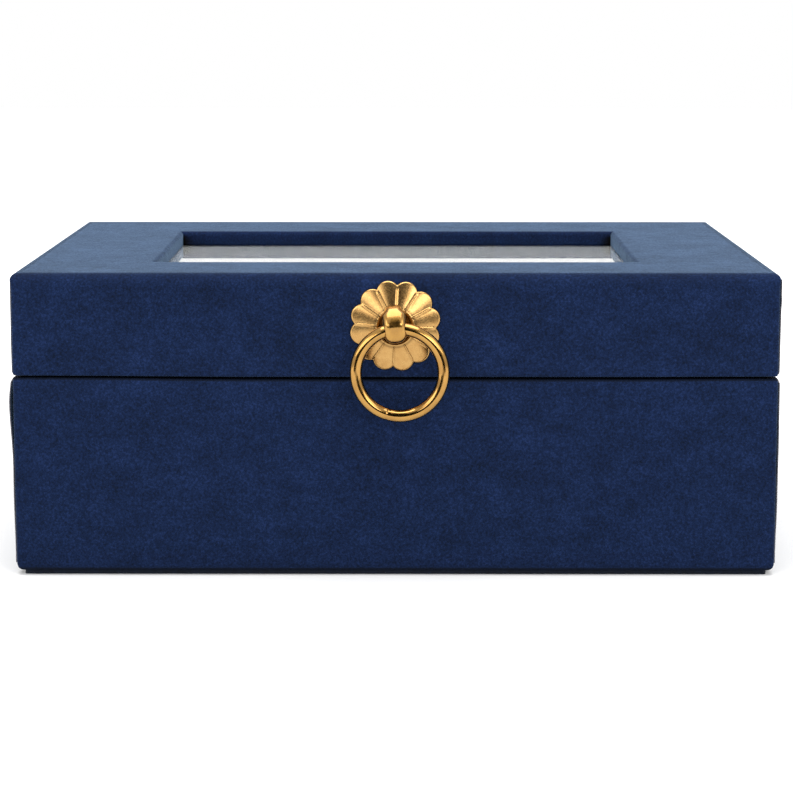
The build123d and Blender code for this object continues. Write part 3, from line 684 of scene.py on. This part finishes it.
# ================= ring pull =================
def rosette():
    """The pressed backplate: twelve pillowed petals on a dome, sharp grooves, and a raised boss."""
    rings, steps = 60, 28
    around = PETALS * steps
    step = 2 * pi / PETALS
    rows, lacquer_and_dark_reflection = [], []
    for k in range(1, rings + 1):
        row = []
        for n in range(around):
            angle = step * n / steps
            across = abs(2 * (n % steps) / steps - 1)
            rim = ROSETTE_R - PETAL_NOTCH * across**2.1
            rho = rim * k / rings
            share = min(max((rho - BOSS_R) / (rim - BOSS_R), 0.0), 1.0)
            beside = (1 - across) * rho * sin(step / 2)
            down = (rho - BOSS_R) / (ROSETTE_R - BOSS_R)
            slope = ROSETTE_RIM + (ROSETTE_CROWN - ROSETTE_RIM) * (1 - down)
            pillow = (0.05 + 0.13 * share) * MM * (1 - across**2)
            rib = RIB * (1 - smooth_step(share, 0.75, 1.0)) * near(beside, 0.0, 0.24 * MM)
            fall = 0.3 * MM * smooth_step(rho, rim - 0.4 * MM, rim) ** 2
            raised = 0.45 * MM * near(rho, BOSS_R - 0.35 * MM, 0.4 * MM)
            if rho < BOSS_R:
                height = BOSS_H - 0.5 * MM + raised
            else:
                height = max(slope + pillow + rib - fall, 0.3 * MM)
            turn = angle + ROSETTE_TURN
            row.append(Vector((rho * sin(turn), FRONT_Y - height, PULL_Z + rho * cos(turn))))
            # painted reflection: the boss's face is painted dark, standing in for the dark surroundings
            # it reflects; the ring just outside the boss is lacquer in the hollow
            reflection_and_lacquer = 0.9 * smooth_step(BOSS_R - rho, 0.55 * MM, 0.9 * MM)
            reflection_and_lacquer += 0.5 * near(rho, BOSS_R + 0.3 * MM, 0.4 * MM)
            lacquer_and_dark_reflection.append(max(reflection_and_lacquer, 0.12 * near(beside, 0.5 * MM, 0.15 * MM) if rho > BOSS_R else 0.0))
        rows.append(row)
    back = [Vector((p.x, FRONT_Y, p.z)) for p in rows[-1]]
    # the rosette's outer edge, down to the lid, is painted a little darker too
    lacquer_and_dark_reflection += [0.3] * len(back)
    rows.append(back)
    points, faces = loft(rows)
    first = [Vector((0, FRONT_Y - BOSS_H, PULL_Z)), Vector((0, FRONT_Y, PULL_Z))]
    top, bottom = len(points), len(points) + 1
    faces += [(top, (n + 1) % around, n) for n in range(around)]
    last = rings * around
    faces += [(bottom, last + n, last + (n + 1) % around) for n in range(around)]
    piece = mesh_piece("rosette_pressed", points + first, faces, "lid", "satin_brass", SATIN)
    paint(piece, "lacquer_and_dark_reflection", lacquer_and_dark_reflection + [0.0, 0.0])
    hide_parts("rosette")


def turned(point):
    """A point of the eye or ring, turned with them about the stud."""
    flat = Matrix.Rotation(-PULL_TURN, 4, "Y") @ (point - Vector((0, 0, PULL_Z)))
    return flat + Vector((0, 0, PULL_Z))


def smooth_curve(stations, cuts):
    """Points on a smooth curve through stations."""
    curve = []
    for n in range(len(stations) - 1):
        before, here = Vector(stations[max(n - 1, 0)]), Vector(stations[n])
        after, beyond = Vector(stations[n + 1]), Vector(stations[min(n + 2, len(stations) - 1)])
        for k in range(cuts):
            t = k / cuts
            bend = (2 * before - 5 * here + 4 * after - beyond) * t**2
            twist = (3 * here - before - 3 * after + beyond) * t**3
            curve.append(0.5 * (2 * here + (after - before) * t + bend + twist))
    return curve + [Vector(stations[-1])]


def eye_profile():
    """The eye from the side, as (reach in front of the lid, height over the hole): a bent tongue."""
    stations = (
        (2.7, 6.7), (4.6, 6.75), (7.2, 6.35), (9.3, 4.9), (10.7, 3.0), (11.25, 1.5), (11.2, 0.0),
        (11.0, -1.6), (10.5, -3.1), (9.4, -3.95), (8.0, -4.1), (6.5, -3.6), (5.1, -2.4), (2.7, -1.7),
    )
    return smooth_curve([(reach * MM, height * MM) for reach, height in stations], 5)


def pull_eye():
    """The cast eye: a tongue with a half-round foot, narrower at its root, drilled for the ring."""
    profile = eye_profile()
    middle = EYE_HALF - EYE_FOOT
    root = profile[0].x
    rows = []
    slices = 28
    for n in range(slices + 1):
        across = 0.985 * sin(pi / 2 * (2 * n / slices - 1))
        foot = (1 - abs(across) ** 2.4) ** (1 / 2.4)
        edge = 1 - 0.22 * abs(across) ** 5
        row = []
        for p in profile:
            height = middle + (p.y - middle) * (foot if p.y < middle else 1 - 0.1 * abs(across) ** 4)
            width = EYE_HALF * (1 - 0.34 * smooth_step(height, 4.4 * MM, 6.0 * MM))
            reach = root + (p.x - root) * edge
            row.append(Vector((across * width, FRONT_Y - reach, PULL_Z + height)))
        rows.append(row)
    points, faces = loft(rows)
    count = len(profile)
    faces.append(tuple(range(count))[::-1])
    faces.append(tuple(slices * count + k for k in range(count)))
    piece = mesh_piece("pull_eye_cast", points, faces, "lid", "brass", EYE_BRASS)
    drill_mesh = bpy.data.meshes.new("drill")
    work = bmesh.new()
    size = {"radius1": EYE_HOLE, "radius2": EYE_HOLE, "depth": 4 * EYE_HALF, "segments": 48}
    bmesh.ops.create_cone(work, cap_ends=True, matrix=Matrix.Rotation(pi / 2, 4, "Y"), **size)
    bmesh.ops.translate(work, verts=work.verts, vec=(0, FRONT_Y - RING_OUT, PULL_Z))
    work.to_mesh(drill_mesh)
    work.free()
    drill = in_scene("drill", drill_mesh)
    cut = piece.modifiers.new("hole", "BOOLEAN")
    cut.object = drill
    cut.operation = "DIFFERENCE"
    soften = piece.modifiers.new("edges", "REMESH")
    soften.mode = "VOXEL"
    soften.voxel_size = 0.12 * MM
    ease = piece.modifiers.new("ease", "SMOOTH")
    ease.iterations = 8
    apply_modifiers(piece)
    bpy.data.objects.remove(drill)
    for vertex in piece.data.vertices:
        vertex.co = turned(vertex.co)
    piece.data.polygons.foreach_set("use_smooth", [True] * len(piece.data.polygons))
    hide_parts("pull_eye")


def pull_ring():
    """The ring, bent from round wire. Its ends meet in a fine butt joint low on the left."""
    around, section = 240, 36
    joint_at = radians(-112)
    rows = []
    for n in range(around):
        angle = 2 * pi * n / around
        gap = atan2(sin(angle - joint_at), cos(angle - joint_at))
        wire = WIRE_R - 0.12 * MM * exp(-((gap * RING_R / (0.22 * MM)) ** 2))
        row = []
        for k in range(section):
            turn = 2 * pi * k / section
            out = RING_R + wire * cos(turn)
            y, z = FRONT_Y - RING_OUT + wire * sin(turn), PULL_Z - RING_R + out * sin(angle)
            row.append(turned(Vector((out * cos(angle), y, z))))
        rows.append(row)
    points, faces = loft(rows, closed=True)
    piece = mesh_piece("pull_ring_wire", points, faces, "ring", "brass", RING_BRASS)
    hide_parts("pull_ring")


# ================= inside =================
def soft_board(name, node, body, round_mm, slot="lining"):
    """A board wrapped in velvet: rounded edges and slightly uneven faces."""
    low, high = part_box(node)
    centre, half = (low + high) / 2, (high - low) / 2
    work = bmesh.new()
    bmesh.ops.create_cube(work, size=2.0)
    for vertex in work.verts:
        vertex.co = Vector(a * b for a, b in zip(vertex.co, half)) + centre
    edge = min(round_mm * MM, 0.49 * min(half) * 2)
    bmesh.ops.bevel(work, geom=work.edges[:], offset=edge, segments=4, profile=0.5, affect="EDGES")
    longest = sorted(half)[-1] * 2
    cuts = int(longest / (6 * MM))
    long_edges = [e for e in work.edges if e.calc_length() > 8 * MM]
    bmesh.ops.subdivide_edges(work, edges=long_edges, cuts=min(cuts, 18), use_grid_fill=True)
    points = [v.co.copy() for v in work.verts]
    work.verts.index_update()
    faces = [tuple(v.index for v in f.verts) for f in work.faces]
    work.free()
    thin = min(range(3), key=lambda a: half[a])
    for p in points:
        swell = noise.noise(p * 60) * 0.08 * MM
        p[thin] += swell if p[thin] > centre[thin] else -swell
    piece = mesh_piece(name, points, faces, body, slot, VELVET)
    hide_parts(node)


SWELL_FRAMES = 20


def inflate(piece, voxel_mm, cap_mm):
    """Swells a foam piece's velvet with a short cloth simulation, each point held within cap."""
    work = in_scene("foam", bpy.data.meshes.new_from_object(piece))
    grid = work.modifiers.new("grid", "REMESH")
    grid.mode = "VOXEL"
    grid.voxel_size = voxel_mm * MM
    apply_modifiers(work)
    rest = [v.co.copy() for v in work.data.vertices]
    cloth = work.modifiers.new("cloth", "CLOTH")
    cloth.settings.use_pressure = True
    cloth.settings.uniform_pressure_force = 4.0
    cloth.settings.effector_weights.gravity = 0.0
    cloth.settings.quality = 5
    cloth.point_cache.frame_start = 1
    cloth.point_cache.frame_end = SWELL_FRAMES
    for number in range(1, SWELL_FRAMES + 1):
        bpy.context.scene.frame_set(number)
    apply_modifiers(work)
    bpy.context.scene.frame_set(1)
    for vertex, home in zip(work.data.vertices, rest):
        move = vertex.co - home
        if move.length > cap_mm * MM:
            vertex.co = home + move.normalized() * cap_mm * MM
    return work


def one_roll(name, node, model):
    """A ring roll: the swollen foam fitted into this roll's own place."""
    low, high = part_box(node)
    centre, half = (low + high) / 2, (high - low) / 2
    co = [v.co.copy() for v in model.data.vertices]
    lows = Vector(min(p[a] for p in co) for a in range(3))
    highs = Vector(max(p[a] for p in co) for a in range(3))
    mid, reach = (lows + highs) / 2, (highs - lows) / 2
    seed = Vector((0, centre.y * 40, 0))
    points = []
    for p in co:
        q = Vector(centre[a] + (p[a] - mid[a]) / reach[a] * (half[a] - 0.05 * MM) for a in range(3))
        q.z += 0.35 * MM * noise.noise(q * 45 + seed) * smooth_step(q.z, centre.z, high.z)
        points.append(q)
    faces = [tuple(f.vertices) for f in model.data.polygons]
    piece = mesh_piece(name, points, faces, "base", "lining", VELVET)
    subdivided = piece.modifiers.new("even", "SUBSURF")
    subdivided.levels = 1
    subdivided.render_levels = 1
    apply_modifiers(piece)
    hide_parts(node)


def ring_rolls():
    """Seven rolls, all swollen from one simulated foam core."""
    low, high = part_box("ring_roll_1")
    radius = (high.y - low.y) / 2
    mid_y = (low.y + high.y) / 2
    profile = [(-radius, low.z), (radius, low.z)]
    top = high.z - radius
    angles = [radians(180 * n / 16) for n in range(17)]
    profile += [(radius * cos(angle), top + radius * sin(angle)) for angle in angles]
    ends = (low.x + 0.6 * MM, low.x + 1.8 * MM, high.x - 1.8 * MM, high.x - 0.6 * MM)
    rows = []
    for n, x in enumerate(ends):
        size = 0.86 if n in (0, 3) else 0.96
        rows.append([Vector((x, mid_y + y * size, low.z + (z - low.z) * size)) for y, z in profile])
    points, faces = loft(rows)
    count = len(profile)
    faces += [tuple(range(count)), tuple(3 * count + k for k in range(count))]
    mesh = bpy.data.meshes.new("roll_core")
    mesh.from_pydata([tuple(p) for p in points], [], faces)
    set_normals_out(mesh)
    core = in_scene("roll_core", mesh)
    model = inflate(core, 2.0, 1.2)
    for n in range(1, 8):
        one_roll(f"ring_roll_velvet_{n}", f"ring_roll_{n}", model)
    for spare in {core, model}:
        bpy.data.objects.remove(spare)


def card_and_top_lining():
    """The white card just under the glass, and the lining sheet round it under the lid's frame."""
    low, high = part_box("mount_card")
    half_y = (high.y - low.y) / 2
    rows = [outline(high.x, half_y, 0.3 * MM, z, WINDOW_Y) for z in (low.z, high.z - CARD_GAP)]
    points, faces = loft(rows)
    count = len(rows[0])
    faces += [tuple(range(count)), tuple(range(count, 2 * count))]
    card = mesh_piece("white_mount_card", points, faces, "lid", "mount_card", CARD)
    card.data.polygons.foreach_set("use_smooth", [False] * len(card.data.polygons))
    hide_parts("mount_card")
    low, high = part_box("lid_lining_top")
    hole_x, hole_y = glass_high.x + 0.25 * MM, (glass_high.y - glass_low.y) / 2 + 0.25 * MM
    soft = 0.35 * MM
    rows = [
        outline(hole_x, hole_y, 0.3 * MM, high.z, WINDOW_Y),
        outline(hole_x, hole_y, 0.3 * MM, low.z + soft, WINDOW_Y),
        outline(hole_x + soft, hole_y + soft, 0.5 * MM, low.z, WINDOW_Y),
        outline(hole_x + 4 * MM, hole_y + 4 * MM, 1 * MM, low.z, WINDOW_Y),
        outline(high.x - soft, high.y - soft, 0.5 * MM, low.z),
        outline(high.x, high.y, 0.3 * MM, low.z + soft),
        outline(high.x, high.y, 0.3 * MM, high.z),
    ]
    points, faces = loft(rows, closed=True)
    sheet = mesh_piece("lid_lining_velvet_top", points, faces, "lid", "lining", VELVET)
    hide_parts("lid_lining_top")


def lined_inside():
    """Velvet-wrapped linings, dividers, floor pad and backing panel."""
    for side in ("front", "back", "left", "right"):
        soft_board(f"base_lining_velvet_{side}", f"base_lining_{side}", "base", 0.9)
        soft_board(f"lid_lining_velvet_{side}", f"lid_lining_{side}", "lid", 0.8)
    soft_board("base_floor_velvet", "base_lining_floor", "base", 1.2)
    for name in ("long", "back_left", "back_right", "front"):
        soft_board(f"divider_velvet_{name}", f"divider_{name}", "base", 1.9)
    soft_board("backing_panel_velvet", "backing_panel", "lid", 0.8, "panel_board")


# ================= carried-over parts =================
def finish_nodes():
    """Gives each CAD part that stays its real finish."""
    finishes = {
        "felt_sheet": FELT, "window_glass": GLASS,
        "pull_nut": STEEL, "pull_washer": STEEL, "base_magnets": MAGNET, "lid_magnets": MAGNET,
    }
    for name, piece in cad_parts.items():
        finish = finishes.get(name)
        if name.endswith("_board"):
            finish = FIBREBOARD
        if name.startswith(("hinge", "turn_button")):
            finish = SHEET_BRASS
        if finish:
            piece.data.materials.clear()
            piece.data.materials.append(finish)


# ================= studio =================
FLOOR_REACH = 3.2
LIT_PLACE = Vector((0, 0, 0.05))


def flat_sheet(name, corners, finish):
    """A four-cornered sheet that belongs to the studio."""
    mesh = bpy.data.meshes.new(name)
    mesh.from_pydata(corners, [], [(0, 1, 2, 3)])
    mesh.materials.append(finish)
    sheet = in_scene(name, mesh)
    return sheet


def studio():
    """A white floor, painted greyer near the box as painted shade, an even white room, soft boxes, and
    black flags that only the brass sees.
    """
    settings = {"Roughness": 0.8, "Specular IOR Level": 0.05}
    pale, tree, shader, place = finish_of("studio_floor", settings)
    # painted shade: the floor's colour is greyer close to the box and whiter further away
    away = add(tree, "ShaderNodeVectorMath", {"operation": "LENGTH"}, {0: place}).outputs["Value"]
    tree.links.new(ramp(tree, away, ((0.2, "#E3E3E3"), (0.6, "#FAFAFA"))), shader.inputs["Base Color"])
    ways = ((-1, -1), (1, -1), (1, 1), (-1, 1))
    flat_sheet("floor", [(FLOOR_REACH * x, FLOOR_REACH * y, 0) for x, y in ways], pale)
    cloth = {"Roughness": 1.0, "Base Color": linear("#0A0A0A")}
    black = finish_of("black_flag_cloth", cloth)[0]
    flags = (
        ("near_flag", -0.5, 0.0, 0.165, 0.36), ("tall_flag", -1.55, 0.1, 2.3, 0.31),
        ("wide_flag", -1.6, 0.6, 1.2, 0.62),
    )
    for name, y, low, high, half in flags:
        corners = [(-half, y, low), (half, y, low), (half, y, high), (-half, y, high)]
        flag = flat_sheet(name, corners, black)
        flag.visible_camera = False
        flag.visible_diffuse = False
        flag.visible_shadow = False
        flag.visible_transmission = False
    soft_box("top_box", (0.0, -0.05, 1.7), 1.6, 33)
    soft_box("left_box", (-1.35, -1.05, 0.85), 0.9, 7.5)
    soft_box("right_box", (1.35, -1.0, 0.95), 0.9, 6.5)
    soft_box("low_left_box", (-0.62, -1.3, 0.44), 0.5, 2.6)
    soft_box("low_right_box", (0.62, -1.3, 0.46), 0.5, 4.2)
    world = bpy.data.worlds.new("white_room")
    bpy.context.scene.world = world
    world.use_nodes = True
    room = world.node_tree.nodes["Background"].inputs
    room["Color"].default_value = (1, 1, 1, 1)
    room["Strength"].default_value = WORLD_LIGHT
    bpy.context.scene.view_settings.view_transform = "Standard"


def soft_box(name, place, size, power):
    """A square soft light pointed at the box."""
    light = bpy.data.lights.new(name, "AREA")
    light.size = size
    light.energy = power
    lamp = in_scene(name, light)
    lamp.location = place
    lamp.rotation_euler = (LIT_PLACE - Vector(place)).to_track_quat("-Z", "Y").to_euler()


def camera():
    """A long lens a little above the box, square to its front."""
    data = bpy.data.cameras.new("camera")
    data.lens = CAMERA_LENS
    data.sensor_width = 36.0
    data.shift_y = CAMERA_FALL
    eye = in_scene("camera", data)
    eye.location = CAMERA_PLACE
    eye.rotation_euler = (pi / 2 - CAMERA_DOWN, 0, CAMERA_TURN)
    bpy.context.scene.camera = eye


camera()
lid_wrap()
base_wrap()
all_side_papers()
rosette()
pull_eye()
pull_ring()
ring_rolls()
lined_inside()
card_and_top_lining()
finish_nodes()
studio()
